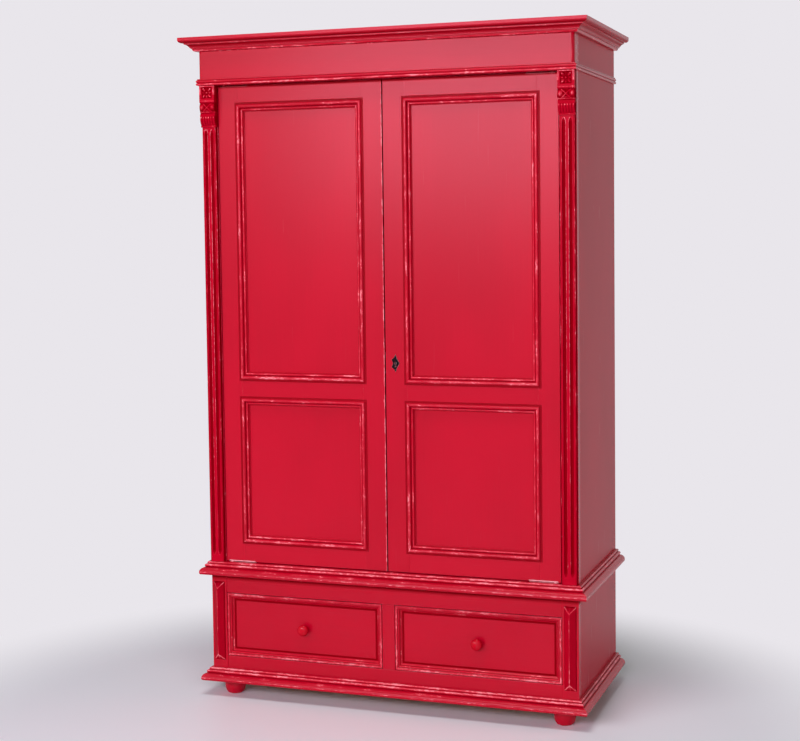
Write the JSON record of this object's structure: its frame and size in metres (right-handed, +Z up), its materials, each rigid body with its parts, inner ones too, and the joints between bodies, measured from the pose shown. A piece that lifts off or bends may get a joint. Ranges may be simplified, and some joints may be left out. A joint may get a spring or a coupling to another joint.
{
  "type": "wardrobe",
  "caption": "Painted softwood wardrobe with framed doors over drawers, fluted corner strips, carved corbels, stepped cornice and bun feet.",
  "frame": {"origin": "on the floor under the middle of the overall box", "axes": "+Z up, the doors and drawers face -Y, +X to the viewer's right"},
  "size_m": [1.27, 0.596, 2.05],
  "materials": {
    "red_paint": "satin cherry red paint on pine, rubbed through to a pale undercoat on edges",
    "bare_pine": "bare pine, lightly waxed",
    "beech": "turned beech, oiled",
    "steel": "plain mild steel, dull",
    "black_iron": "blackened iron, waxed"
  },
  "bodies": {
    "root": {"bun_feet": "red_paint", "base_moulding": "red_paint", "base_board": "bare_pine", "lower_side_left": "red_paint", "lower_side_right": "red_paint", "lower_posts": "red_paint", "diamond_strips": "red_paint", "lower_bottom_rail": "red_paint", "lower_top_rail": "red_paint", "lower_centre_stile": "red_paint", "drawer_divider": "bare_pine", "drawer_runners": "bare_pine", "waist_board": "red_paint", "waist_moulding": "red_paint", "upper_side_left": "red_paint", "upper_side_right": "red_paint", "upper_posts": "red_paint", "fluted_strips": "red_paint", "corbels": "red_paint", "frieze_board": "red_paint", "upper_top_rail": "red_paint", "bead_moulding": "red_paint", "cornice": "red_paint", "top_board": "bare_pine", "back_boards": "bare_pine", "hat_shelf": "bare_pine", "shelf_battens": "bare_pine", "clothes_rail": "beech", "rail_cups": "beech", "door_stop": "red_paint", "hinge_frame_leaves": "steel"},
    "door_left": {"door_left_stiles": "red_paint", "door_left_rails": "red_paint", "door_left_mouldings": "red_paint", "door_left_panels": "red_paint", "door_left_hinge_leaves": "steel", "strike_plate": "steel", "bolt_cases": "steel"},
    "door_right": {"door_right_stiles": "red_paint", "door_right_rails": "red_paint", "door_right_mouldings": "red_paint", "door_right_panels": "red_paint", "door_right_hinge_leaves": "steel", "escutcheon": "black_iron", "lock_case": "steel"},
    "drawer_left": {"drawer_left_front": "red_paint", "drawer_left_sides": "bare_pine", "drawer_left_back": "bare_pine", "drawer_left_bottom": "bare_pine", "drawer_left_mouldings": "red_paint", "drawer_left_knob": "red_paint"},
    "drawer_right": {"drawer_right_front": "red_paint", "drawer_right_sides": "bare_pine", "drawer_right_back": "bare_pine", "drawer_right_bottom": "bare_pine", "drawer_right_mouldings": "red_paint", "drawer_right_knob": "red_paint"},
    "lock_bolt": {"lock_bolt": "steel"},
    "top_bolt": {"top_bolt": "steel"},
    "bottom_bolt": {"bottom_bolt": "steel"}
  },
  "joints": [
    {"name": "door_left_hinge", "type": "hinge", "parent": "root", "child": "door_left", "pos_m": [-0.518, -0.219, 0.43], "axis": [0, 0, -1], "range_deg": [0, 95]},
    {"name": "door_right_hinge", "type": "hinge", "parent": "root", "child": "door_right", "pos_m": [0.518, -0.219, 0.43], "axis": [0, 0, 1], "range_deg": [0, 95]},
    {"name": "drawer_left_slide", "type": "slide", "parent": "root", "child": "drawer_left", "axis": [0, -1, 0], "range_m": [0, 0.36]},
    {"name": "drawer_right_slide", "type": "slide", "parent": "root", "child": "drawer_right", "axis": [0, -1, 0], "range_m": [0, 0.36]},
    {"name": "lock_bolt_slide", "type": "slide", "parent": "door_right", "child": "lock_bolt", "axis": [-1, 0, 0], "range_m": [0, 0.01]},
    {"name": "top_bolt_slide", "type": "slide", "parent": "door_left", "child": "top_bolt", "axis": [0, 0, 1], "range_m": [0, 0.012]},
    {"name": "bottom_bolt_slide", "type": "slide", "parent": "door_left", "child": "bottom_bolt", "axis": [0, 0, -1], "range_m": [0, 0.012]}
  ]
}
